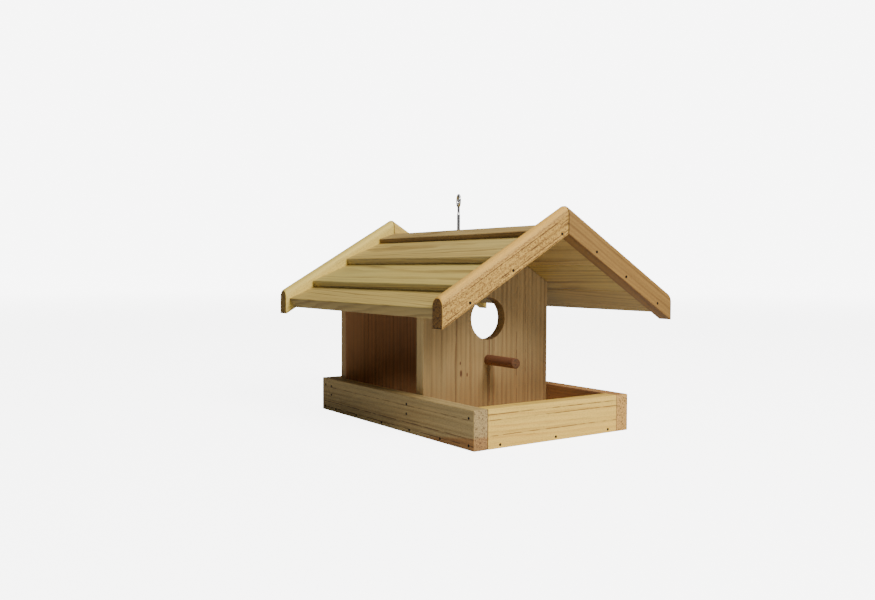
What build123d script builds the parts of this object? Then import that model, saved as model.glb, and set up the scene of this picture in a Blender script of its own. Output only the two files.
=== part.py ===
"""Hanging bird feeder, in millimetres.

A shallow plank tray carries two gable walls under a roof of lapped boards, trimmed with barge
boards, and a screw eye in the ridge hangs the whole. X runs across the gables, Y along the ridge
with the entrance gable towards -Y, and Z is up. The origin is the centre of the tray's underside.
"""
from build123d import *
from math import cos, radians, sin, tan
import os

os.makedirs("parts", exist_ok=True)

# Tray
BOARD_T = 18.0          # thickness of the tray and barge boards
TRAY_W = 222.0          # outside, across X
TRAY_L = 330.0          # outside, along Y
TRAY_H = 42.0
FLOOR_T = 8.0

# Gable walls
WALL_T = 14.0
FRONT_WALL_Y = -46.0    # outer face of the entrance wall
HOLE_D = 50.0
HOLE_Z = 126.0
PERCH_D = 12.0
PERCH_Z = 77.0
PERCH_PROUD = 52.0
PERCH_SOCKET = 12.0     # depth of the dowel in the wall
PERCH_CHAMFER = 0.8

# Roof: lapped boards with a flat underside and a tapered top
PITCH = 30.35           # degrees
ROOF_APEX_Z = 223.9     # where the two undersides meet
BUTTS = [21.0, 79.0, 137.0, 176.5]      # lower edge of each course, down the slope from the ridge
RIDGE_T = 8.5           # top course at the ridge
TOP_BUTT_T = 14.0       # top course at its butt
THIN_T = 7.5            # the other courses where they come out from under the lap
BUTT_T = 16.0           # and at their butts
LAP = 10.0              # how far a course covers the next one

# Barge boards
BARGE_SPAN = 326.6      # across both boards of one gable
BARGE_PLUMB = 31.2      # height of the plumb-cut end
BARGE_APEX_Z = 252.7
BARGE_NOSE_R = 8.5      # rounding of the two top arrises

# Ridge batten and screw eye
BATTEN_W = 40.0
BATTEN_BOTTOM_Z = 188.0
EYE_Y = 15.0
EYE_Z = 269.2           # centre of the ring
EYE_WIRE_D = 3.2
EYE_RING_D = 14.0       # across the ring's centre line
EYE_SHANK_D = 4.0       # the rolled thread is thicker than the wire
EYE_SHANK_TOP_Z = 252.0
EYE_NECK_L = 2.0        # taper from the thread to the wire
EYE_START = -96.0       # degrees, where the ring leaves the neck
EYE_WRAP = 338.0        # degrees of ring before the wire's end
EYE_TURN = 24.0         # ring plane, degrees from +Y towards +X
EYE_SCREW_Z = 204.0     # point of the screw
EYE_POINT_L = 6.0

# Wire nails
NAIL_D = 1.6
NAIL_HEAD_D = 3.0
NAIL_HEAD_T = 0.8
NAIL_POINT_L = 3.0
NAIL_POINT_D = 0.4
NAIL_L = 30.0
ROOF_NAIL_L = 22.0
CORNER_NAIL_ZS = [5.0, 33.0]
WALL_NAIL_ZS = [21.5, 32.5]
FLOOR_NAIL_Z = 4.0
SIDE_FLOOR_NAIL_YS = [-105.0, -45.0, 15.0, 75.0, 128.0]
END_FLOOR_NAIL_XS = [-77.0, 0.0, 79.0]
BARGE_NAIL_XS = {"left": [10.0, 76.0, 130.0], "right": [41.0, 87.0, 139.0]}
BARGE_NAIL_RISE = 6.0   # above the barge board's lower edge
BATTEN_NAIL_X = 14.0
BATTEN_NAIL_Z = 196.0

# Worked out from the above
SIDES = {"left": -1, "right": 1}
ENDS = {"front": -1, "back": 1}
INNER_W = TRAY_W - 2 * BOARD_T
INNER_L = TRAY_L - 2 * BOARD_T
SLOPE = tan(radians(PITCH))
TAPER = (BUTT_T - THIN_T) / (BUTTS[1] - BUTTS[0])
BACK_WALL_Y = INNER_L / 2               # outer face, against the back board
WALL_MID_YS = [FRONT_WALL_Y + WALL_T / 2, BACK_WALL_Y - WALL_T / 2]
TRAY_END_MID_Y = (TRAY_L - BOARD_T) / 2
BARGE_LOWER_APEX_Z = BARGE_APEX_Z - BARGE_PLUMB
BARGE_FACE_Y = TRAY_L / 2 + BOARD_T
UPRIGHT = (Align.CENTER, Align.CENTER, Align.MIN)


def roof_z(x):
    """Height of the roof's underside at x."""
    return ROOF_APEX_Z - SLOPE * abs(x)


def roof_point(side, along, proud):
    """The XZ point `along` down one slope from the ridge and `proud` off its underside."""
    pitch = radians(PITCH)
    x = side * (along * cos(pitch) + proud * sin(pitch))
    z = ROOF_APEX_Z - along * sin(pitch) + proud * cos(pitch)
    return (x, z)


def keep(builder, name):
    """Label a finished piece and write its file."""
    builder.part.label = name
    export_step(builder.part, f"parts/{name}.step")


def drive_nail(head, direction, length=NAIL_L):
    """Add one wire nail to the open part, with its head flush at `head`."""
    with Locations(Plane(origin=head, z_dir=direction)):
        Cylinder(NAIL_HEAD_D / 2, NAIL_HEAD_T, align=UPRIGHT)
        Cylinder(NAIL_D / 2, length - NAIL_POINT_L, align=UPRIGHT)
        with Locations((0, 0, length - NAIL_POINT_L)):
            Cone(NAIL_D / 2, NAIL_POINT_D / 2, NAIL_POINT_L, align=UPRIGHT)


def make_room(*fasteners):
    """Cut the seats of the named fasteners out of the open part."""
    for fastener in fasteners:
        add(fastener.part, mode=Mode.SUBTRACT)


# ---------------------------------------------------------------- fasteners
with BuildPart() as corner_nails:
    for side in SIDES.values():
        for end in ENDS.values():
            for nail_z in CORNER_NAIL_ZS:
                drive_nail((side * TRAY_W / 2, end * TRAY_END_MID_Y, nail_z), (-side, 0, 0))
keep(corner_nails, "corner_nails")

with BuildPart() as floor_nails:
    for side in SIDES.values():
        for nail_y in SIDE_FLOOR_NAIL_YS:
            drive_nail((side * TRAY_W / 2, nail_y, FLOOR_NAIL_Z), (-side, 0, 0))
    for end in ENDS.values():
        for nail_x in END_FLOOR_NAIL_XS:
            drive_nail((nail_x, end * TRAY_L / 2, FLOOR_NAIL_Z), (0, -end, 0))
keep(floor_nails, "floor_nails")

with BuildPart() as wall_nails:
    for side in SIDES.values():
        for wall_y in WALL_MID_YS:
            for nail_z in WALL_NAIL_ZS:
                drive_nail((side * TRAY_W / 2, wall_y, nail_z), (-side, 0, 0))
keep(wall_nails, "wall_nails")

with BuildPart() as barge_nails:
    for side_name, side in SIDES.items():
        for end in ENDS.values():
            for nail_x in BARGE_NAIL_XS[side_name]:
                nail_z = BARGE_LOWER_APEX_Z - SLOPE * nail_x + BARGE_NAIL_RISE
                drive_nail((side * nail_x, end * BARGE_FACE_Y, nail_z), (0, -end, 0))
keep(barge_nails, "barge_nails")

with BuildPart() as roof_nails:
    for side in SIDES.values():
        for butt in BUTTS[:2]:
            top_x, top_z = roof_point(side, butt - LAP / 2, THIN_T - TAPER * LAP / 2)
            deep_x, deep_z = roof_point(side, butt - LAP / 2 + TAPER, THIN_T - TAPER * LAP / 2 - 1)
            for wall_y in WALL_MID_YS:
                inwards = (deep_x - top_x, 0, deep_z - top_z)
                drive_nail((top_x, wall_y, top_z), inwards, ROOF_NAIL_L)
keep(roof_nails, "roof_nails")

with BuildPart() as batten_nails:
    for side in SIDES.values():
        drive_nail((side * BATTEN_NAIL_X, FRONT_WALL_Y, BATTEN_NAIL_Z), (0, 1, 0))
        drive_nail((side * BATTEN_NAIL_X, BACK_WALL_Y, BATTEN_NAIL_Z), (0, -1, 0))
keep(batten_nails, "batten_nails")

# A bent-wire screw eye: a pointed shank, a thinner neck, and a ring that nearly closes
turn = radians(EYE_TURN)
ring_plane = Plane(origin=(0, EYE_Y, EYE_Z), x_dir=(sin(turn), cos(turn), 0), z_dir=(cos(turn), -sin(turn), 0))
ring_foot = EYE_Z - EYE_RING_D / 2
with BuildPart() as screw_eye:
    with BuildLine(ring_plane) as ring_line:
        CenterArc((0, 0), EYE_RING_D / 2, EYE_START, EYE_WRAP)
    with BuildSketch(Plane(origin=ring_line.line @ 0, z_dir=ring_line.line % 0)):
        Circle(EYE_WIRE_D / 2)
    sweep()
    with Locations((0, EYE_Y, EYE_SCREW_Z)):
        Cone(NAIL_POINT_D / 2, EYE_SHANK_D / 2, EYE_POINT_L, align=UPRIGHT)
    with Locations((0, EYE_Y, EYE_SCREW_Z + EYE_POINT_L)):
        Cylinder(EYE_SHANK_D / 2, EYE_SHANK_TOP_Z - EYE_SCREW_Z - EYE_POINT_L, align=UPRIGHT)
    with Locations((0, EYE_Y, EYE_SHANK_TOP_Z)):
        Cone(EYE_SHANK_D / 2, EYE_WIRE_D / 2, EYE_NECK_L, align=UPRIGHT)
        Cylinder(EYE_WIRE_D / 2, ring_foot - EYE_SHANK_TOP_Z, align=UPRIGHT)
keep(screw_eye, "screw_eye")

# ---------------------------------------------------------------- tray
with BuildPart() as tray_floor:
    with BuildSketch():
        Rectangle(INNER_W, INNER_L)
    extrude(amount=FLOOR_T)
    make_room(floor_nails)
keep(tray_floor, "tray_floor")

for side_name, side in SIDES.items():
    with BuildPart() as tray_side:
        with BuildSketch():
            with Locations((side * (TRAY_W - BOARD_T) / 2, 0)):
                Rectangle(BOARD_T, TRAY_L)
        extrude(amount=TRAY_H)
        make_room(corner_nails, floor_nails, wall_nails)
    keep(tray_side, f"tray_side_{side_name}")

for end_name, end in ENDS.items():
    with BuildPart() as tray_end:
        with BuildSketch():
            with Locations((0, end * TRAY_END_MID_Y)):
                Rectangle(INNER_W, BOARD_T)
        extrude(amount=TRAY_H)
        make_room(corner_nails, floor_nails)
    keep(tray_end, f"tray_end_{end_name}")

# ---------------------------------------------------------------- perch and gable walls
with BuildPart() as perch_dowel:
    with BuildSketch(Plane.XZ.offset(PERCH_PROUD - FRONT_WALL_Y)):
        with Locations((0, PERCH_Z)):
            Circle(PERCH_D / 2)
    extrude(amount=-(PERCH_PROUD + PERCH_SOCKET))
    chamfer(perch_dowel.edges().sort_by(Axis.Y)[0], PERCH_CHAMFER)
keep(perch_dowel, "perch_dowel")

gable_corners = [
    (-INNER_W / 2, FLOOR_T),
    (INNER_W / 2, FLOOR_T),
    (INNER_W / 2, roof_z(INNER_W / 2)),
    (0, ROOF_APEX_Z),
    (-INNER_W / 2, roof_z(INNER_W / 2)),
]

with BuildPart() as front_gable_wall:
    with BuildSketch(Plane.XZ.offset(-FRONT_WALL_Y)):
        with BuildLine():
            Polyline(*gable_corners, close=True)
        make_face()
        with Locations((0, HOLE_Z)):
            Circle(HOLE_D / 2, mode=Mode.SUBTRACT)
    extrude(amount=-WALL_T)
    make_room(perch_dowel, wall_nails, roof_nails, batten_nails)
keep(front_gable_wall, "front_gable_wall")

with BuildPart() as back_gable_wall:
    with BuildSketch(Plane.XZ.offset(-BACK_WALL_Y)):
        with BuildLine():
            Polyline(*gable_corners, close=True)
        make_face()
    extrude(amount=WALL_T)
    make_room(wall_nails, roof_nails, batten_nails)
keep(back_gable_wall, "back_gable_wall")

with BuildPart() as ridge_batten:
    with BuildSketch(Plane.XZ.offset(WALL_T - BACK_WALL_Y)):
        with BuildLine():
            Polyline(
                (-BATTEN_W / 2, BATTEN_BOTTOM_Z),
                (BATTEN_W / 2, BATTEN_BOTTOM_Z),
                (BATTEN_W / 2, roof_z(BATTEN_W / 2)),
                (0, ROOF_APEX_Z),
                (-BATTEN_W / 2, roof_z(BATTEN_W / 2)),
                close=True,
            )
        make_face()
    extrude(amount=BACK_WALL_Y - 2 * WALL_T - FRONT_WALL_Y)
    make_room(batten_nails, screw_eye)
keep(ridge_batten, "ridge_batten")


# ---------------------------------------------------------------- roof
def top_course(side):
    """Outline of the strip beside the ridge, mitred plumb against its twin."""
    ridge_top = (0, ROOF_APEX_Z + RIDGE_T / cos(radians(PITCH)))
    butt = BUTTS[0]
    return [
        (0, ROOF_APEX_Z),
        ridge_top,
        roof_point(side, butt, TOP_BUTT_T),
        roof_point(side, butt, THIN_T),
        roof_point(side, butt - LAP, THIN_T - TAPER * LAP),
        roof_point(side, butt - LAP, 0),
    ]


def lower_course(side, course):
    """Outline of a tapered board, rebated under its butt where it laps another board."""
    start = BUTTS[course - 1] - LAP
    butt = BUTTS[course]
    outline = [
        roof_point(side, start, 0),
        roof_point(side, start, THIN_T - TAPER * LAP),
        roof_point(side, butt, THIN_T + TAPER * (butt - BUTTS[course - 1])),
    ]
    if course == len(BUTTS) - 1:
        outline += [roof_point(side, butt, 0)]
    else:
        outline += [
            roof_point(side, butt, THIN_T),
            roof_point(side, butt - LAP, THIN_T - TAPER * LAP),
            roof_point(side, butt - LAP, 0),
        ]
    return outline


for side_name, side in SIDES.items():
    for course in range(len(BUTTS)):
        with BuildPart() as roof_board:
            with BuildSketch(Plane.XZ):
                with BuildLine():
                    corners = lower_course(side, course) if course else top_course(side)
                    Polyline(*corners, close=True)
                make_face()
            extrude(amount=TRAY_L / 2, both=True)
            make_room(barge_nails, roof_nails, screw_eye)
        keep(roof_board, f"roof_board_{side_name}_{course + 1}")

for side_name, side in SIDES.items():
    for end_name, end in ENDS.items():
        with BuildPart() as barge_board:
            with BuildSketch(Plane.XZ.offset(-end * TRAY_L / 2)):
                with BuildLine():
                    tip = BARGE_SPAN / 2
                    Polyline(
                        (0, BARGE_LOWER_APEX_Z),
                        (0, BARGE_APEX_Z),
                        (side * tip, BARGE_APEX_Z - SLOPE * tip),
                        (side * tip, BARGE_LOWER_APEX_Z - SLOPE * tip),
                        close=True,
                    )
                make_face()
            extrude(amount=-end * BOARD_T)
            top_face = barge_board.faces().filter_by(lambda face: abs(face.normal_at().Y) < 0.5)
            top_face = top_face.filter_by(lambda face: face.normal_at().Z > 0.5).sort_by(SortBy.AREA)[-1]
            long_edges = top_face.edges().sort_by(SortBy.LENGTH)[-2:]
            fillet(long_edges, BARGE_NOSE_R)
            make_room(barge_nails)
        keep(barge_board, f"barge_board_{end_name}_{side_name}")
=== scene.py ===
"""Looks for the hanging bird feeder: weathered softwood boards, a dowel, nails and a screw eye.

Every wooden CAD node is replaced by a detailed board of the same size, with rounded arrises and a
slightly uneven surface. The nails and the screw eye keep their CAD shapes. The wood is a solid
procedural material: growth rings round a pith line near each board, so that faces, edges and ends
agree. Everything is in metres, in the CAD model's frame.
"""
import bpy
from math import cos, pi, radians, sin, tan
from mathutils import Matrix, Vector, noise


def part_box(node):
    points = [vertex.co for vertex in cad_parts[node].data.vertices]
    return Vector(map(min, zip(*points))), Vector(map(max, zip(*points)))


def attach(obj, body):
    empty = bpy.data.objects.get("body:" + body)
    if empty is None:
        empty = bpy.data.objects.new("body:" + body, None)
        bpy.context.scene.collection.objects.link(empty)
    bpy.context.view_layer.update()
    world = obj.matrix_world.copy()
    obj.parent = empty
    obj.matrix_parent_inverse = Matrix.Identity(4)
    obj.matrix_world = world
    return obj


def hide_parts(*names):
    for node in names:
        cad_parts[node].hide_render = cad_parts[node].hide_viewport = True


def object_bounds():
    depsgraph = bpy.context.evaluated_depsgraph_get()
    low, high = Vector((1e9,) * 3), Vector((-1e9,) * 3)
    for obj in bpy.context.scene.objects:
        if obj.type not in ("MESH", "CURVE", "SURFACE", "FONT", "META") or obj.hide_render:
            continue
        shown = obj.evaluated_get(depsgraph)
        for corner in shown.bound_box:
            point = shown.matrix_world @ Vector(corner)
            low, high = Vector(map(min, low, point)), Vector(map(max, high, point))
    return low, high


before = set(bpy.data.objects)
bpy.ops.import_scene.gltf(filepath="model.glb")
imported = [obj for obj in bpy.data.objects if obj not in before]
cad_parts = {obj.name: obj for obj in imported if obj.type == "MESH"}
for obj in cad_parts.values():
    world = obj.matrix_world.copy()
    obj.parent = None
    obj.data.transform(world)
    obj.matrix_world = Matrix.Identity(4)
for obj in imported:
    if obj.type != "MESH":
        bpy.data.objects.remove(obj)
cad_low, cad_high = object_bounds()

MM = 0.001
BODY = "root"
X, Y, Z = AXES = Vector((1, 0, 0)), Vector((0, 1, 0)), Vector((0, 0, 1))

# ---------------------------------------------------------------- camera and light
CAMERA_AT = Vector((-0.6355, -0.8548, 0.1828))
CAMERA_YAW = 34.787         # degrees from +Y towards +X
CAMERA_PITCH = -1.951       # degrees, below the level
CAMERA_ROLL = 0.222         # degrees
CAMERA_LENS = 35.62         # millimetres
SENSOR_WIDTH = 36.0         # millimetres

FLOOR_REACH = 30.0                      # metres each way from the feeder
SWEEP_START, SWEEP_END = 1.5, 7.0       # where the floor starts and stops to brighten, in metres
SURROUND = 7.5                          # brightness of the surround as seen
AMBIENT = 0.13                          # and as a light
FLOOR_GLOW = 5.8                        # extra brightness of the floor near the feeder, as seen
KEY_AT, KEY_SIZE, KEY_POWER = (0.0, -1.98, 1.65), 1.0, 95.0
KEY_COLOUR = (1.0, 0.97, 0.93)
TOP_AT, TOP_SIZE, TOP_POWER = (-0.2, 0.2, 2.2), 1.4, 9.0

# ---------------------------------------------------------------- the feeder's sizes
PITCH = radians(30.35)      # of the roof
SLOPE = tan(PITCH)
ROOF_APEX_Z = 223.9 * MM    # where the undersides of the two slopes meet
BUTTS = [21.0 * MM, 79.0 * MM, 137.0 * MM, 176.5 * MM]      # the courses' lower edges, down the slope
RIDGE_T = 8.5 * MM          # thickness of the top boards at the ridge
TOP_BUTT_T = 14.0 * MM      # and at their lower edge
THIN_T = 7.5 * MM           # thickness of the other boards where the next one above ends
BUTT_T = 16.0 * MM          # and of the two middle courses at their lower edges
LAP = 10.0 * MM             # how far each board reaches under the one above
TAPER = (BUTT_T - THIN_T) / (BUTTS[1] - BUTTS[0])
HOLE_R = 25.0 * MM
HOLE_Z = 126.0 * MM

ARRIS = 1.0 * MM            # rounding of a board's edges
WALL_ARRIS = 0.6 * MM
ROOF_ARRIS = 0.5 * MM
ROOF_END_ARRIS = 0.6 * MM
BUTT_ARRIS = 1.6 * MM       # the weathered upper edge of each butt
BARGE_ARRIS = 0.8 * MM
BARGE_END_ARRIS = 1.5 * MM
NOSE_R = 8.5 * MM           # the barge boards' top edges
PERCH_ARRIS = 0.9 * MM

# ---------------------------------------------------------------- meshes
GRID = 3.0 * MM             # spacing of a board's mesh
SAWN_GRID = 1.6 * MM        # and of a rough-sawn board's
EDGE_STEPS = 4              # least segments round an arris
HOLE_STEPS = 96
PERCH_STEPS = 48
SHARP_FROM = radians(38)    # faces that meet at more than this are not shaded as one
WAVES, FUZZ = 28, 420       # planing waves and torn fibres, in features per metre
WOBBLE = 0.12 * MM          # depth of the waves on a planed board
PERCH_WOBBLE = 0.05 * MM
ROOF_WOBBLE = 0.25 * MM
BARGE_WOBBLE = 0.2 * MM
BARGE_FUZZ = 0.22 * MM      # depth of the torn fibres on a rough-sawn board


def srgb(red, green, blue):
    """A display colour, 0 to 255, as the linear colour that shaders use."""
    def linear(value):
        value /= 255
        return value / 12.92 if value <= 0.04045 else ((value + 0.055) / 1.055) ** 2.4
    return (linear(red), linear(green), linear(blue), 1.0)


# ---------------------------------------------------------------- wood
# The noises of a board: how they are squeezed along the grain (under 1 is drawn out), their features
# per metre, a shift of the board's seed, detail and roughness.
LAYERS = {
    "bend": (0.09, 24, 0, 2.5, 0.55),
    "ripple": (0.12, 160, 3, 2.0, 0.5),
    "fade": (0.12, 45, 21, 2.0, 0.5),
    "fibre": (0.015, 1100, 5, 2.0, 0.6),
    "streak": (0.03, 150, 7, 3.0, 0.6),
    "blotch": (0.3, 16, 9, 2.0, 0.5),
    "torn": (0.6, 850, 15, 1.0, 0.5),
    "split": (0.05, 420, 17, 1.0, 0.5),
    "broken": (0.4, 160, 23, 1.0, 0.5),
    "speckle": (1.0, 900, 11, 3.0, 0.65),
    "pores": (1.0, 460, 25, 1.0, 0.5),
    "teeth": (9.0, 90, 13, 2.0, 0.5),
}
SEED_STEP = (1.37, 0.73, 0.51)      # how far a seed of 1 moves a noise

KNOT = srgb(92, 62, 36)
TORN = srgb(104, 68, 32)
SPLIT = srgb(60, 36, 18)
PORE = srgb(50, 32, 18)
WARM_TINT = (1.0, 0.86, 0.66, 1)
END_TINT = (0.62, 0.55, 0.50, 1)
KNOT_PUSH = 1.6             # how far a knot pushes the rings out, in its own radii
RIPPLE = 0.55               # waviness of the rings, in rings
BLOTCHES = 0.35             # strength of the warm patches
FIBRES = 0.45               # strength of the fibres' light and shade
LINE_WAVE = 1.2 * MM        # how far a saw line wanders
LINE_HALF = 0.3 * MM        # half its width where it is darkest
LINE_FADE = 0.75 * MM       # and where it ends
ANYWHERE = -300             # millimetres, short of every face
RELIEF_DEPTH = 0.25 * MM
RELIEF_STRENGTH = 0.55


def node(tree, kind, inputs=None, **settings):
    """Add a node, with sockets linked or set."""
    made = tree.nodes.new(kind)
    for name, value in settings.items():
        setattr(made, name, value)
    for name, value in (inputs or {}).items():
        if isinstance(value, bpy.types.NodeSocket):
            tree.links.new(value, made.inputs[name])
        else:
            made.inputs[name].default_value = value
    return made


def math_node(tree, operation, *values):
    """The result of a Math node."""
    return node(tree, "ShaderNodeMath", dict(enumerate(values)), operation=operation).outputs[0]


def total(tree, first, *others):
    """The sum of several values."""
    for value in others:
        first = math_node(tree, "ADD", first, value)
    return first


def product(tree, first, *others):
    """The product of several values."""
    for value in others:
        first = math_node(tree, "MULTIPLY", first, value)
    return first


def length(tree, first, second):
    """The length of the vector (first, second)."""
    squares = total(tree, math_node(tree, "POWER", first, 2.0), math_node(tree, "POWER", second, 2.0))
    return math_node(tree, "SQRT", squares)


def dot(tree, vector, direction):
    """How far a vector reaches along a direction."""
    made = node(tree, "ShaderNodeVectorMath", {0: vector, 1: direction}, operation="DOT_PRODUCT")
    return made.outputs["Value"]


def swing(tree, factor, span):
    """A noise of 0 to 1 as a value around 0, from -span / 2 to span / 2."""
    return product(tree, math_node(tree, "SUBTRACT", factor, 0.5), span)


def smooth_step(tree, value, low, high, to_low=0.0, to_high=1.0):
    """Map value from low..high to to_low..to_high along an S curve."""
    inputs = {"Value": value, "From Min": low, "From Max": high, "To Min": to_low, "To Max": to_high}
    return node(tree, "ShaderNodeMapRange", inputs, interpolation_type="SMOOTHSTEP").outputs[0]


def blend_colours(tree, factor, first, second, mode="MIX"):
    """The result of mixing two colours."""
    made = node(tree, "ShaderNodeMix", data_type="RGBA", blend_type=mode)
    for socket, value in ((made.inputs[0], factor), (made.inputs[6], first), (made.inputs[7], second)):
        if isinstance(value, bpy.types.NodeSocket):
            tree.links.new(value, socket)
        else:
            socket.default_value = value
    return made.outputs[2]


def tinted(tree, colour, tint):
    """A colour multiplied by a tint."""
    return blend_colours(tree, 1.0, colour, tint, "MULTIPLY")


def empty_material(name):
    """A material with no nodes yet, and its node tree."""
    material = bpy.data.materials.new(name)
    material.use_nodes = True
    material.node_tree.nodes.clear()
    return material, material.node_tree


def finish_material(tree, **inputs):
    """Send a Principled shader to the output. Its inputs are named with _ for a space."""
    sockets = {name.replace("_", " "): value for name, value in inputs.items()}
    shader = node(tree, "ShaderNodeBsdfPrincipled", sockets)
    output = node(tree, "ShaderNodeOutputMaterial")
    tree.links.new(shader.outputs[0], output.inputs[0])


class Board:
    """A board's node tree, with the sockets that say where in the board a point lies."""

    def __init__(self, tree, grain, across, origin, seed):
        self.tree = tree
        self.seed = seed
        through = grain.cross(across)
        turn = Matrix((grain, across, through)).transposed().to_euler()
        self.place = node(tree, "ShaderNodeTexCoord").outputs["Object"]
        mapping = {"Vector": self.place, "Location": origin, "Rotation": turn}
        self.point = node(tree, "ShaderNodeMapping", mapping, vector_type="TEXTURE").outputs[0]
        self.along, self.over, self.deep = node(tree, "ShaderNodeSeparateXYZ", {0: self.point}).outputs
        self.normal = node(tree, "ShaderNodeNewGeometry").outputs["Normal"]
        self.wide = self.faces_along(through, 0.8, 0.97)
        self.end = self.faces_along(grain, 0.55, 0.8)
        self.fibre = self.layer("fibre")
        self.streak = self.layer("streak")
        self.speckle = self.layer("speckle")

    def faces_along(self, direction, low, high):
        """A mask of the faces that look along a direction, either way."""
        facing = math_node(self.tree, "ABSOLUTE", dot(self.tree, self.normal, direction))
        return smooth_step(self.tree, facing, low, high)

    def layer(self, name, socket=0):
        """One of LAYERS."""
        squeeze, scale, shift, detail, roughness = LAYERS[name]
        squeezed = node(self.tree, "ShaderNodeVectorMath", {0: self.point, 1: (squeeze, 1, 1)},
                        operation="MULTIPLY")
        move = [(self.seed + shift) * step for step in SEED_STEP]
        moved = node(self.tree, "ShaderNodeVectorMath", {0: squeezed.outputs[0], 1: move}, operation="ADD")
        inputs = {"Vector": moved.outputs[0], "Scale": scale, "Detail": detail, "Roughness": roughness}
        return node(self.tree, "ShaderNodeTexNoise", inputs).outputs[socket]


def ring_distance(board, pith, warp, runout):
    """Distance from the pith line, bent by slow waves and leaning along the board."""
    tree = board.tree
    bend = node(tree, "ShaderNodeSeparateXYZ", {0: board.layer("bend", "Color")}).outputs
    waves = warp * 2 * MM
    lean = product(tree, board.along, runout)
    from_over = math_node(tree, "SUBTRACT", board.over, pith[0] * MM)
    from_deep = math_node(tree, "SUBTRACT", board.deep, pith[1] * MM)
    from_over = total(tree, from_over, swing(tree, bend[0], waves), lean)
    from_deep = total(tree, from_deep, swing(tree, bend[1], waves))
    return length(tree, from_over, from_deep)


def bend_round_knots(board, distance, knots, knot_length):
    """Push the rings out round each knot. Gives the new distance and the knots' mask."""
    tree = board.tree
    mask = 0.0
    for knot_along, knot_over, knot_r in knots:
        gap_along = product(tree, math_node(tree, "SUBTRACT", board.along, knot_along * MM), 1 / knot_length)
        gap_over = math_node(tree, "SUBTRACT", board.over, knot_over * MM)
        gap = math_node(tree, "DIVIDE", length(tree, gap_along, gap_over), knot_r * MM)
        falloff = total(tree, math_node(tree, "POWER", gap, 2.0), 1.0)
        distance = total(tree, distance, math_node(tree, "DIVIDE", knot_r * MM * KNOT_PUSH, falloff))
        mask = math_node(tree, "MAXIMUM", mask, smooth_step(tree, gap, 1.35, 0.55))
    return distance, mask


def latewood(board, distance, ring):
    """The dark part of each ring: a slow rise and a sharp end, stronger in some rings and places."""
    tree = board.tree
    rings = math_node(tree, "DIVIDE", distance, ring * MM)
    rings = total(tree, rings, swing(tree, board.layer("ripple"), RIPPLE))
    phase = math_node(tree, "FRACT", rings)
    late = product(tree, smooth_step(tree, phase, 0.25, 0.85), smooth_step(tree, phase, 1.0, 0.9))
    number = math_node(tree, "FLOOR", rings)
    each = node(tree, "ShaderNodeTexWhiteNoise", {"W": number}, noise_dimensions="1D")
    strength = math_node(tree, "MULTIPLY_ADD", each.outputs[0], 0.75, 0.25)
    fade = smooth_step(tree, board.layer("fade"), 0.35, 0.65, 0.35, 1.0)
    return product(tree, late, strength, fade)


def add_heartwood_and_painted_shade(board, colour, red, red_tint):
    """Redden the wood beyond a distance along a direction, with a streaky edge: heartwood, and on the back
    wall's inner face painted shade.
    """
    tree = board.tree
    direction, reach, softness = red
    edge = total(tree, dot(tree, board.place, direction), swing(tree, board.streak, softness * 2.5 * MM))
    mask = smooth_step(tree, edge, (reach - softness) * MM, (reach + softness) * MM)
    return blend_colours(tree, mask, colour, tinted(tree, colour, red_tint))


def add_torn_fibres(board, colour, sawn):
    """Torn fibres and short splits on the wide faces of a sawn board."""
    tree = board.tree
    marks = (("torn", 0.50, 0.60, 0.7, TORN), ("split", 0.66, 0.71, 0.8, SPLIT))
    for layer, low, high, strength, mark in marks:
        mask = smooth_step(tree, board.layer(layer), low, high, 0.0, sawn * strength)
        colour = blend_colours(tree, product(tree, mask, board.wide), colour, mark)
    return colour


def add_saw_lines(board, colour, lines):
    """Broken dark lines along the wide faces."""
    tree = board.tree
    broken = smooth_step(tree, board.layer("broken"), 0.4, 0.55, 0.25, 0.9)
    for line_over, line_colour in lines:
        gap = math_node(tree, "ABSOLUTE", math_node(tree, "SUBTRACT", board.over, line_over * MM))
        gap = total(tree, gap, swing(tree, board.streak, LINE_WAVE))
        mask = product(tree, smooth_step(tree, gap, LINE_FADE, LINE_HALF), broken, board.wide)
        colour = blend_colours(tree, mask, colour, line_colour)
    return colour


def add_end_grain(board, colour, pale, end_tint):
    """Even out and tint the ends of the fibres, and open their pores."""
    tree = board.tree
    ends = tinted(tree, blend_colours(tree, 0.25, colour, pale), end_tint)
    pores = smooth_step(tree, board.layer("pores"), 0.57, 0.66, 0.0, 0.7)
    ends = blend_colours(tree, pores, ends, PORE)
    return blend_colours(tree, board.end, colour, ends)


def add_tints(board, colour, tints):
    """Paint light and shade: tint the faces that look along a direction and lie at least `reach` along it."""
    tree = board.tree
    for direction, tint, reach in tints:
        turned = smooth_step(tree, dot(tree, board.normal, direction), 0.45, 0.8)
        beyond = smooth_step(tree, dot(tree, board.place, direction), (reach - 1.0) * MM, (reach + 1.0) * MM)
        colour = blend_colours(tree, product(tree, turned, beyond), colour, tinted(tree, colour, tint))
    return colour


def add_light_and_shade(board, colour, streaks, sawn):
    """Lighter and darker fibres and streaks everywhere, and grit on the ends and on sawn faces."""
    tree = board.tree
    grit = swing(tree, board.speckle, math_node(tree, "MULTIPLY_ADD", board.end, 2.4, sawn * 0.9))
    light = total(tree, swing(tree, board.fibre, FIBRES), swing(tree, board.streak, streaks * 2), grit, 1.0)
    return node(tree, "ShaderNodeVectorMath", {0: colour, "Scale": light}, operation="SCALE").outputs[0]


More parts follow.
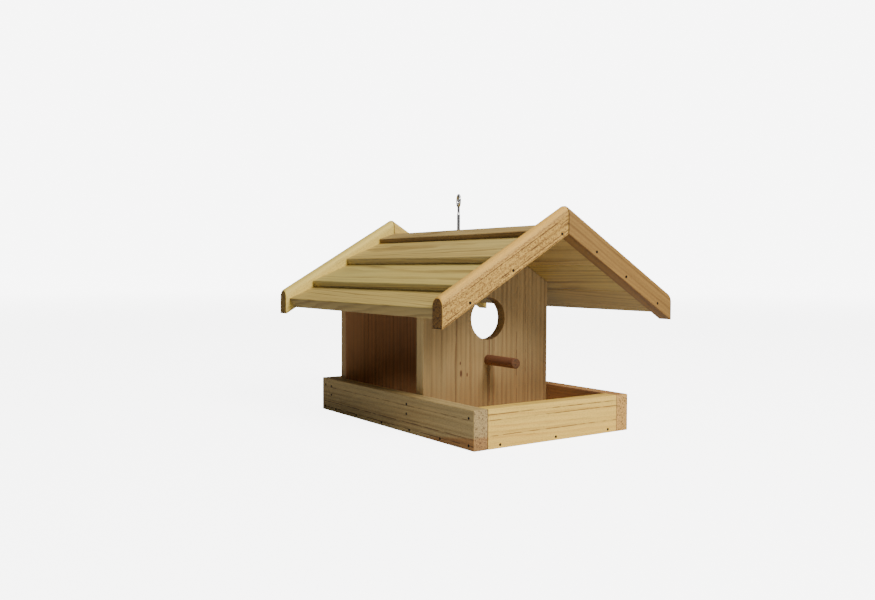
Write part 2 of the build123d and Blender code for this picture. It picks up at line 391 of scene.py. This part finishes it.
def relief(board, late, sawn):
    """Raised latewood and fibres, rough ends and, on sawn boards, tooth marks across the grain."""
    tree = board.tree
    height = total(tree, product(tree, late, 0.5), board.fibre)
    if sawn:
        teeth = product(tree, board.layer("teeth"), sawn * 1.2)
        height = total(tree, height, teeth, product(tree, board.speckle, sawn * 1.5))
    height = total(tree, height, product(tree, board.end, board.speckle, 1.5))
    bump = node(tree, "ShaderNodeBump",
                {"Height": height, "Strength": RELIEF_STRENGTH, "Distance": RELIEF_DEPTH})
    return bump.outputs[0]


def wood(name, grain, across, origin, seed, pale, dark, pith=(0.0, -60.0), ring=3.0, contrast=0.7, warp=4.0,
         runout=0.0, streaks=0.18, red=None, red_tint=None, knots=(), knot_length=1.6, lines=(), sawn=0.0,
         end_tint=END_TINT, tints=()):
    """A solid softwood material in a board's own axes.

    grain and across are unit vectors along the board and over its width, and origin is a point in it.
    pith is the pith line's place over the width and through the thickness, ring the rings' spacing and
    warp their waviness, in millimetres, and runout is how far the rings lean, per metre along. red is
    (direction, distance, softness) of a reddened patch: heartwood on most boards, painted shade on the
    back wall's inner face. knots are (along, across, radius), and knot_length is how long they are for
    their width. lines are (across, colour) of broken saw lines. sawn is 0 for a planed board and 1 for the
    roughest. tints are (direction, tint, least distance) of painted light and shade:
    faces that look along the direction are drawn lighter or darker. All the distances are in millimetres.
    """
    material, tree = empty_material(name)
    board = Board(tree, grain, across, origin, seed)
    distance = ring_distance(board, pith, warp, runout)
    distance, knot_mask = bend_round_knots(board, distance, knots, knot_length)
    late = latewood(board, distance, ring)

    colour = blend_colours(tree, product(tree, late, contrast), pale, dark)
    warmth = smooth_step(tree, board.layer("blotch"), 0.4, 0.75, 0.0, BLOTCHES)
    colour = blend_colours(tree, warmth, colour, tinted(tree, colour, WARM_TINT))
    if red:
        colour = add_heartwood_and_painted_shade(board, colour, red, red_tint)
    if knots:
        colour = blend_colours(tree, knot_mask, colour, KNOT)
    if sawn:
        colour = add_torn_fibres(board, colour, sawn)
    if lines:
        colour = add_saw_lines(board, colour, lines)
    colour = add_end_grain(board, colour, pale, end_tint)
    colour = add_tints(board, colour, tints)
    colour = add_light_and_shade(board, colour, streaks, sawn)

    rough = math_node(tree, "MULTIPLY_ADD", board.fibre, 0.25, 0.55)
    finish_material(tree, Base_Color=colour, Roughness=rough, Normal=relief(board, late, sawn),
                    Specular_IOR_Level=0.3)
    return material


def steel(name, colour, roughness, dirt_colour, dirt):
    """Metal with fine scratches and dull patches."""
    material, tree = empty_material(name)
    place = node(tree, "ShaderNodeTexCoord").outputs["Object"]
    patch = node(tree, "ShaderNodeTexNoise", {"Vector": place, "Scale": 420.0, "Detail": 3.0}).outputs[0]
    scratch = node(tree, "ShaderNodeTexNoise", {"Vector": place, "Scale": 2600.0, "Detail": 2.0}).outputs[0]
    base = blend_colours(tree, smooth_step(tree, patch, 0.45, 0.7, 0.0, dirt), colour, dirt_colour)
    rough = math_node(tree, "MULTIPLY_ADD", patch, 0.3, roughness - 0.15)
    bump = node(tree, "ShaderNodeBump", {"Height": scratch, "Strength": 0.3, "Distance": 0.05 * MM})
    finish_material(tree, Base_Color=base, Roughness=rough, Metallic=1.0, Normal=bump.outputs[0])
    return material


# ---------------------------------------------------------------- boards
def rounded(corners, spacing, radius=ARRIS):
    """A closed outline through corners, given in order as (u, v) or (u, v, radius)."""
    count = len(corners)
    arcs = []
    for index, corner in enumerate(corners):
        here = Vector(corner[:2])
        before = Vector(corners[index - 1][:2]) - here
        after = Vector(corners[(index + 1) % count][:2]) - here
        size = corner[2] if len(corner) > 2 else radius
        half = before.angle(after) / 2
        back = size / tan(half)
        start, stop = here + before.normalized() * back, here + after.normalized() * back
        centre = here + (before.normalized() + after.normalized()).normalized() * (size / sin(half))
        turn = (start - centre).angle_signed(stop - centre)
        steps = max(EDGE_STEPS, round(abs(turn) * size / spacing))
        turns = [Matrix.Rotation(-turn * step / steps, 2) for step in range(steps + 1)]
        arcs.append((start, [centre + part @ (start - centre) for part in turns], stop))
    points = []
    for index, (_, arc, stop) in enumerate(arcs):
        run = arcs[(index + 1) % count][0] - stop
        pieces = max(1, round(run.length / spacing))
        points += arc + [stop + run * piece / pieces for piece in range(1, pieces)]
    return points


def outward(points):
    """Unit normals of a closed outline, which point out of an anticlockwise one."""
    count = len(points)
    chords = [points[(index + 1) % count] - points[index - 1] for index in range(count)]
    return [Vector((chord.y, -chord.x)).normalized() for chord in chords]


def stations(low, high, spacing, radius=ARRIS):
    """Places along a board, and how far the outline is drawn in at each to round the ends."""
    quarter = [pi / 2 * step / EDGE_STEPS for step in range(EDGE_STEPS + 1)]
    rounding = [(radius * (1 - cos(angle)), radius * (1 - sin(angle))) for angle in quarter]
    first = [(low + along, inset) for along, inset in rounding]
    last = [(high - along, inset) for along, inset in reversed(rounding)]
    middle_low, middle_high = first[-1][0], last[0][0]
    steps = max(1, round((middle_high - middle_low) / spacing))
    middle = [(middle_low + (middle_high - middle_low) * step / steps, 0.0) for step in range(1, steps)]
    return first + middle + last


def sunk(point, normal, wobble, fuzz, seed):
    """A surface point moved into the board by slow planing waves and, if sawn, torn fibres."""
    shift = Vector((seed * 0.37, seed * 0.11, seed * 0.23))
    slow = 0.65 + 0.35 * noise.noise(point * WAVES + shift)
    fine = 0.5 + 0.5 * noise.noise(point * FUZZ + shift)
    return point - normal * (wobble * slow + fuzz * fine)


def finish_piece(name, mesh, material, node_name):
    """Link a mesh as a named piece that stands for a CAD node."""
    mesh.shade_smooth()
    mesh.set_sharp_from_angle(angle=SHARP_FROM)
    mesh.materials.append(material)
    piece = bpy.data.objects.new(name, mesh)
    bpy.context.scene.collection.objects.link(piece)
    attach(piece, BODY)
    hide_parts(node_name)


def sweep(name, outline, places, place, material, node_name, wobble=WOBBLE, fuzz=0.0, seed=0):
    """A board: the outline carried through the places, capped, with an uneven surface.

    place turns a distance along the board and a point of the outline into a point in space.
    """
    normals = outward(outline)
    vertices, faces = [], []
    count = len(outline)
    for along, inset in places:
        for point, normal in zip(outline, normals):
            u, v = point - normal * inset
            vertices.append(place(along, u, v))
    rows = len(places)
    for row in range(rows - 1):
        for index in range(count):
            here, beside = row * count + index, row * count + (index + 1) % count
            faces.append((here, beside, beside + count, here + count))
    faces.append(tuple(reversed(range(count))))
    faces.append(tuple(range((rows - 1) * count, rows * count)))
    mesh = bpy.data.meshes.new(name)
    mesh.from_pydata(vertices, [], faces)
    mesh.update()
    if sum(face.normal.dot(face.center - Vector(vertices[0])) * face.area for face in mesh.polygons) < 0:
        mesh.flip_normals()
    surface = [vertex.normal.copy() for vertex in mesh.vertices]
    for vertex, normal in zip(mesh.vertices, surface):
        vertex.co = sunk(vertex.co, normal, wobble, fuzz, seed)
    finish_piece(name, mesh, material, node_name)


def along_y(along, u, v):
    """The place of a board that lies along Y, with its outline in XZ."""
    return Vector((u, along, v))


# ---------------------------------------------------------------- camera, floor and light
def make_camera():
    """The camera at its place, angle and lens."""
    yaw, pitch, roll = map(radians, (CAMERA_YAW, CAMERA_PITCH, CAMERA_ROLL))
    ahead = Vector((sin(yaw) * cos(pitch), cos(yaw) * cos(pitch), sin(pitch)))
    level = Vector((cos(yaw), -sin(yaw), 0))
    upright = level.cross(ahead)
    right = level * cos(roll) + upright * sin(roll)
    up = upright * cos(roll) - level * sin(roll)
    data = bpy.data.cameras.new("camera")
    data.sensor_width = SENSOR_WIDTH
    data.lens = CAMERA_LENS
    data.clip_start, data.clip_end = 0.01, 100.0
    camera = bpy.data.objects.new("camera", data)
    turn = Matrix((right, up, -ahead)).transposed()
    camera.matrix_world = Matrix.Translation(CAMERA_AT) @ turn.to_4x4()
    bpy.context.scene.collection.objects.link(camera)
    bpy.context.scene.camera = camera


def make_floor():
    """A pale floor that brightens far from the feeder, as a lit studio sweep does."""
    mesh = bpy.data.meshes.new("floor")
    corners = [(FLOOR_REACH * x, FLOOR_REACH * y, 0) for x, y in ((-1, -1), (1, -1), (1, 1), (-1, 1))]
    mesh.from_pydata(corners, [], [(0, 1, 2, 3)])
    material, tree = empty_material("floor")
    place = node(tree, "ShaderNodeTexCoord").outputs["Object"]
    distance = node(tree, "ShaderNodeVectorMath", {0: place}, operation="LENGTH").outputs["Value"]
    seen = node(tree, "ShaderNodeLightPath").outputs["Is Camera Ray"]
    glow = smooth_step(tree, distance, SWEEP_START, SWEEP_END, FLOOR_GLOW, SURROUND)
    finish_material(tree, Base_Color=(0.8, 0.8, 0.8, 1), Roughness=0.9, Specular_IOR_Level=0.1,
                    Emission_Color=(1, 1, 1, 1), Emission_Strength=product(tree, seen, glow))
    mesh.materials.append(material)
    floor = bpy.data.objects.new("floor", mesh)
    bpy.context.scene.collection.objects.link(floor)


def area_light(name, at, aim, size, power, colour=(1, 1, 1)):
    """A soft square light."""
    data = bpy.data.lights.new(name, "AREA")
    data.size = size
    data.energy = power
    data.color = colour
    light = bpy.data.objects.new(name, data)
    light.location = at
    light.rotation_euler = (Vector(aim) - Vector(at)).to_track_quat("-Z", "Y").to_euler()
    bpy.context.scene.collection.objects.link(light)


def make_lights():
    """A white surround that gives little light itself, and soft lights from the front and above."""
    world = bpy.data.worlds.new("surround")
    bpy.context.scene.world = world
    world.use_nodes = True
    tree = world.node_tree
    background = tree.nodes["Background"]
    background.inputs[0].default_value = (1, 1, 1, 1)
    seen = node(tree, "ShaderNodeLightPath").outputs["Is Camera Ray"]
    tree.links.new(math_node(tree, "MULTIPLY_ADD", seen, SURROUND - AMBIENT, AMBIENT), background.inputs[1])
    centre = (cad_low + cad_high) / 2
    area_light("key", KEY_AT, centre, KEY_SIZE, KEY_POWER, KEY_COLOUR)
    area_light("top", TOP_AT, centre, TOP_SIZE, TOP_POWER)


# ---------------------------------------------------------------- the tray
def tray_board(name, node_name, wood_name, grain_axis, across_axis, seed, pale, dark, **looks):
    """A square-edged board filling a CAD node's box, with its axes given as 0, 1 or 2."""
    low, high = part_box(node_name)
    u_axis, v_axis = [axis for axis in range(3) if axis != grain_axis]
    corners = [(low[u_axis], low[v_axis]), (high[u_axis], low[v_axis]),
               (high[u_axis], high[v_axis]), (low[u_axis], high[v_axis])]

    def place(along, u, v):
        point = Vector((0, 0, 0))
        point[grain_axis], point[u_axis], point[v_axis] = along, u, v
        return point

    material = wood(wood_name, AXES[grain_axis], AXES[across_axis], low, seed, pale, dark, **looks)
    sweep(name, rounded(corners, GRID), stations(low[grain_axis], high[grain_axis], GRID), place,
          material, node_name, seed=seed)


def make_tray():
    """Frame boards, the long ones running through with their ends showing, and the floor."""
    pale, dark = srgb(224, 188, 92), srgb(180, 132, 54)
    tray_board("tray_left", "tray_side_left", "wood_tray_left", 1, 2, 1,
               srgb(174, 152, 102), srgb(118, 88, 48),
               pith=(80, 34), ring=4.6, contrast=0.5, warp=6.0, streaks=0.3, sawn=0.3,
               red=((0, -0.13, -1), 8.0, 2.0), red_tint=(0.84, 0.58, 0.42, 1), end_tint=(0.84, 0.80, 0.82, 1),
               lines=[(31, srgb(112, 84, 48)), (12, srgb(104, 74, 42)), (5, srgb(90, 56, 32))])
    tray_board("tray_right", "tray_side_right", "wood_tray_right", 1, 2, 2,
               srgb(176, 132, 82), srgb(130, 84, 46), pith=(-40, 26), end_tint=(1.28, 1.42, 1.12, 1),
               # painted shade: the faces that look towards -X, the inner face, are drawn darker
               tints=[(-X, (0.68, 0.70, 1.0, 1), -200)])
    tray_board("tray_front", "tray_end_front", "wood_tray_front", 0, 2, 3, pale, dark,
               pith=(-60, 40), ring=5.2, contrast=0.6, runout=0.03, warp=5.0, streaks=0.26, sawn=0.25,
               # the dark end tint paints shade in the joints: only the rounded arrises of the ends show, as
               # dark lines against the side boards
               end_tint=(0.16, 0.12, 0.10, 1),
               lines=[(36, srgb(120, 88, 44)), (30, srgb(120, 88, 44)), (14, srgb(140, 104, 54))])
    tray_board("tray_back", "tray_end_back", "wood_tray_back", 0, 2, 4, pale, dark, pith=(60, 30), ring=3.6)
    tray_board("tray_bottom", "tray_floor", "wood_floor", 1, 0, 5, pale, dark, pith=(90, -40),
               knots=((60, 50, 6), (210, 140, 4)))


# ---------------------------------------------------------------- the house
def gable(name, node_name, material, with_hole):
    """A wall with its grain upright and a gable top, from a filled outline with rounded arrises."""
    low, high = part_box(node_name)
    half, thick = high.x, high.y - low.y
    eaves = ROOF_APEX_Z - SLOPE * half
    curve = bpy.data.curves.new(name, "CURVE")
    curve.dimensions = "2D"
    curve.fill_mode = "BOTH"
    curve.extrude = thick / 2 - WALL_ARRIS
    curve.bevel_depth = WALL_ARRIS
    curve.bevel_resolution = 2
    curve.offset = -WALL_ARRIS
    outlines = [[(-half, low.z), (half, low.z), (half, eaves), (0, ROOF_APEX_Z), (-half, eaves)]]
    if with_hole:
        angles = [2 * pi * step / HOLE_STEPS for step in range(HOLE_STEPS)]
        outlines.append([(HOLE_R * cos(angle), HOLE_Z + HOLE_R * sin(angle)) for angle in angles])
    for outline in outlines:
        spline = curve.splines.new("POLY")
        spline.points.add(len(outline) - 1)
        for target, (x, z) in zip(spline.points, outline):
            target.co = (x, z, 0, 1)
        spline.use_cyclic_u = True
    holder = bpy.data.objects.new(name + "_curve", curve)
    mesh = bpy.data.meshes.new_from_object(holder)
    bpy.data.objects.remove(holder)
    mesh.transform(Matrix.Translation((0, (low.y + high.y) / 2, 0)) @ Matrix.Rotation(pi / 2, 4, "X"))
    mesh.name = name
    finish_piece(name, mesh, material, node_name)


def make_walls():
    """The front wall with its hole, knots, a darker lower part, painted shade on the hole's inner face and
    painted light on its left end, and the back wall with painted shade on its inner face.
    """
    front_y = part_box("front_gable_wall")[0].y
    brown, grey_brown = srgb(96, 60, 34), srgb(84, 58, 32)
    # the front wall's pale and dark colours are drawn darker than the wood's own, as painted shade from the
    # roof over it
    material = wood("wood_front_wall", Z, X, Vector((0, front_y, 0)), 6, srgb(158, 134, 91), srgb(96, 69, 38),
                    pith=(400, 6), ring=6.8, contrast=0.8, warp=2.0, streaks=0.38,
                    knots=((63, -40, 1.7), (61, -31, 1.0), (75, -41, 0.9)), knot_length=2.4,
                    red=((0.25, 0, -1), -56, 36), red_tint=(0.66, 0.58, 0.52, 1),
                    lines=[(2, brown), (9, srgb(104, 66, 38)), (44, grey_brown), (58, grey_brown)],
                    # painted shade on the hole's inner face that looks towards -X, and painted light on the
                    # wall's left end, where the second tint more than undoes the first
                    tints=[(-X, (0.70, 0.60, 0.42, 1), -30), (-X, (2.1, 2.65, 3.8, 1), 60)])
    gable("front_wall", "front_gable_wall", material, True)
    back_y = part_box("back_gable_wall")[0].y
    material = wood("wood_back_wall", Z, X, Vector((0, back_y, 0)), 7, srgb(186, 158, 108), srgb(136, 98, 58),
                    pith=(-300, 20), ring=5.5, contrast=0.6, warp=2.0, knots=((120, 30, 5),),
                    # red here is painted shade: the back wall's inner face, inside the house under the roof,
                    # is drawn darker and redder
                    red=((0, -1, 0), -back_y / MM - 2.0, 1.0), red_tint=(0.82, 0.60, 0.55, 1))
    gable("back_wall", "back_gable_wall", material, False)


def make_perch():
    """A dark dowel with eased ends."""
    low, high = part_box("perch_dowel")
    radius = (high.x - low.x) / 2
    centre_z = (low.z + high.z) / 2
    angles = [2 * pi * step / PERCH_STEPS for step in range(PERCH_STEPS)]
    circle = [Vector((radius * cos(angle), radius * sin(angle))) for angle in angles]
    material = wood("wood_perch", Y, X, Vector((0, low.y, centre_z)), 8, srgb(118, 78, 54), srgb(80, 47, 32),
                    pith=(3, -30), ring=1.6, contrast=0.6, end_tint=(0.56, 0.57, 0.40, 1))
    sweep("perch", circle, stations(low.y, high.y, GRID, PERCH_ARRIS),
          lambda along, u, v: Vector((u, along, centre_z + v)),
          material, "perch_dowel", wobble=PERCH_WOBBLE, seed=8)


def make_batten():
    """The batten under the ridge, which fits between the slopes."""
    low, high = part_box("ridge_batten")
    shoulder = ROOF_APEX_Z - SLOPE * high.x
    section = [(low.x, low.z), (high.x, low.z), (high.x, shoulder), (0, ROOF_APEX_Z), (low.x, shoulder)]
    material = wood("wood_batten", Y, X, Vector((0, low.y, low.z)), 9,
                    srgb(208, 178, 132), srgb(150, 108, 66), pith=(8, -20))
    sweep("batten", rounded(section, GRID), stations(low.y, high.y, GRID), along_y,
          material, "ridge_batten", seed=9)


# ---------------------------------------------------------------- the roof
def roof_point(side, along, proud, *radius):
    """The XZ point `along` down one slope from the ridge and `proud` of its underside, for rounded()."""
    x = side * (along * cos(PITCH) + proud * sin(PITCH))
    z = ROOF_APEX_Z - along * sin(PITCH) + proud * cos(PITCH)
    return (x, z, *radius)


def course_outline(side, course):
    """The tapered, rebated section of a roof board in XZ, anticlockwise on both sides."""
    butt = BUTTS[course]
    if course == 0:
        upper = [(0.0, ROOF_APEX_Z), (0.0, ROOF_APEX_Z + RIDGE_T / cos(PITCH))]
        upper.append(roof_point(side, butt, TOP_BUTT_T, BUTT_ARRIS))
    else:
        above = BUTTS[course - 1]
        upper = [roof_point(side, above - LAP, 0), roof_point(side, above - LAP, THIN_T - TAPER * LAP)]
        upper.append(roof_point(side, butt, THIN_T + TAPER * (butt - above), BUTT_ARRIS))
    if course == len(BUTTS) - 1:
        lower = [roof_point(side, butt, 0)]
    else:
        lower = [roof_point(side, butt, THIN_T), roof_point(side, butt - LAP, THIN_T - TAPER * LAP),
                 roof_point(side, butt - LAP, 0)]
    outline = upper + lower
    return outline if side < 0 else outline[::-1]


def make_roof():
    """Four lapped boards a side, each from its own tree, with painted light and shade on the butts and
    painted shade on the undersides.
    """
    courses = [     # pale, dark, the painted light and shade on the butt, and the pith's place for the left side
        (srgb(174, 149, 92), srgb(118, 88, 46), (0.62, 0.58, 0.70, 1), (10, -30)),
        (srgb(194, 171, 98), srgb(132, 104, 52), (0.98, 1.10, 1.80, 1), (24, -34)),
        (srgb(196, 176, 98), srgb(128, 100, 48), (0.88, 0.94, 1.30, 1), (40, -50)),
        (srgb(190, 167, 94), srgb(130, 102, 48), (0.62, 0.60, 0.70, 1), (-14, -28)),
    ]
    # painted shade: the undersides of the boards are drawn darker and browner
    painted_underside_shade = (0.62, 0.56, 0.60, 1)
    for side_name, side, first_seed in (("left", -1, 10), ("right", 1, 15)):
        down = Vector((side * cos(PITCH), 0, -sin(PITCH)))
        under = Vector((-side * sin(PITCH), 0, -cos(PITCH)))
        for course, (pale, dark, painted_butt_light_and_shade, pith) in enumerate(courses):
            label = f"{side_name}_{course + 1}"
            node_name = f"roof_board_{label}"
            low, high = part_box(node_name)
            x, z = roof_point(side, BUTTS[course - 1] if course else 0.0, 0)
            seed = first_seed + course
            material = wood(f"wood_roof_{label}", Y, down, Vector((x, low.y, z)), seed, pale, dark,
                            pith=(pith[0], pith[1] * -side), ring=3.2, contrast=0.85, warp=7.0,
                            runout=0.04 * (course - 1.5), streaks=0.3, end_tint=(0.35, 0.30, 0.28, 1),
                            tints=[(under, painted_underside_shade, ANYWHERE), (down, painted_butt_light_and_shade, ANYWHERE)])
            outline = rounded(course_outline(side, course), GRID, ROOF_ARRIS)
            sweep(f"roof_{label}", outline, stations(low.y, high.y, GRID, ROOF_END_ARRIS), along_y,
                  material, node_name, wobble=ROOF_WOBBLE, seed=seed)


def make_barges():
    """Rough-sawn boards with rounded top edges, mitred plumb at the apex and cut plumb at the eaves."""
    tones = {
        "front_left": (srgb(188, 150, 74), srgb(124, 84, 36)),
        "front_right": (srgb(138, 106, 54), srgb(84, 52, 24)),
        "back_left": (srgb(218, 192, 98), srgb(184, 150, 72)),
        "back_right": (srgb(206, 176, 92), srgb(150, 110, 52)),
    }
    saw_line = srgb(70, 42, 20)
    for seed, (label, (pale, dark)) in enumerate(tones.items(), start=20):
        end_name, side_name = label.split("_")
        front, roughest = end_name == "front", label == "front_left"
        side = -1 if side_name == "left" else 1
        node_name = f"barge_board_{label}"
        low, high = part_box(node_name)
        tip = max(abs(low.x), abs(high.x))
        plumb = high.z - low.z - SLOPE * tip
        lower_apex = high.z - plumb
        thick = high.y - low.y
        width = plumb * cos(PITCH)
        section = [(0, 0), (thick, 0), (thick, width, NOSE_R), (0, width, NOSE_R)]

        def place(along, u, v):
            return Vector((side * along, low.y + u, lower_apex - SLOPE * along + v / cos(PITCH)))

        down = Vector((side * cos(PITCH), 0, -sin(PITCH)))
        upward = Vector((side * sin(PITCH), 0, cos(PITCH)))
        # painted light and shade: the rounded tops of the front barge boards are drawn lighter and their
        # undersides darker
        edge_tints = [(-upward, (0.72, 0.66, 0.64, 1), ANYWHERE), (upward, (1.4, 1.35, 1.2, 1), ANYWHERE)]
        rough = 1.0 if roughest else 0.3
        # the dark end tint is partly the end grain's own colour and partly painted shadow in the mitre gaps
        # at the apex
        material = wood(f"wood_barge_{label}", down, upward, Vector((0, low.y, lower_apex)), seed, pale, dark,
                        pith=(-70, 12 * side), ring=4.6, contrast=0.55 if front else 0.35, streaks=0.3,
                        sawn=rough, end_tint=(0.33, 0.27, 0.22, 1), tints=edge_tints if front else (),
                        lines=[(over, saw_line) for over in (width / MM - 9.0, 4.5, 1.5)] if roughest else ())
        sweep(f"barge_{label}", rounded(section, SAWN_GRID, BARGE_ARRIS),
              stations(0.0, tip, SAWN_GRID, BARGE_END_ARRIS), place,
              material, node_name, wobble=BARGE_WOBBLE, fuzz=BARGE_FUZZ * rough, seed=seed)


# ---------------------------------------------------------------- the metal
def make_metal():
    """The screw eye and the nails keep their CAD shapes."""
    zinc = steel("zinc", (0.72, 0.73, 0.74, 1), 0.2, (0.30, 0.30, 0.31, 1), 0.5)
    dull = steel("dull_steel", (0.035, 0.026, 0.020, 1), 0.75, (0.015, 0.010, 0.008, 1), 0.8)
    for name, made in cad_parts.items():
        if name.endswith("_nails") or name == "screw_eye":
            made.data.materials.clear()
            made.data.materials.append(zinc if name == "screw_eye" else dull)


make_camera()
make_floor()
make_lights()
make_tray()
make_walls()
make_perch()
make_batten()
make_roof()
make_barges()
make_metal()
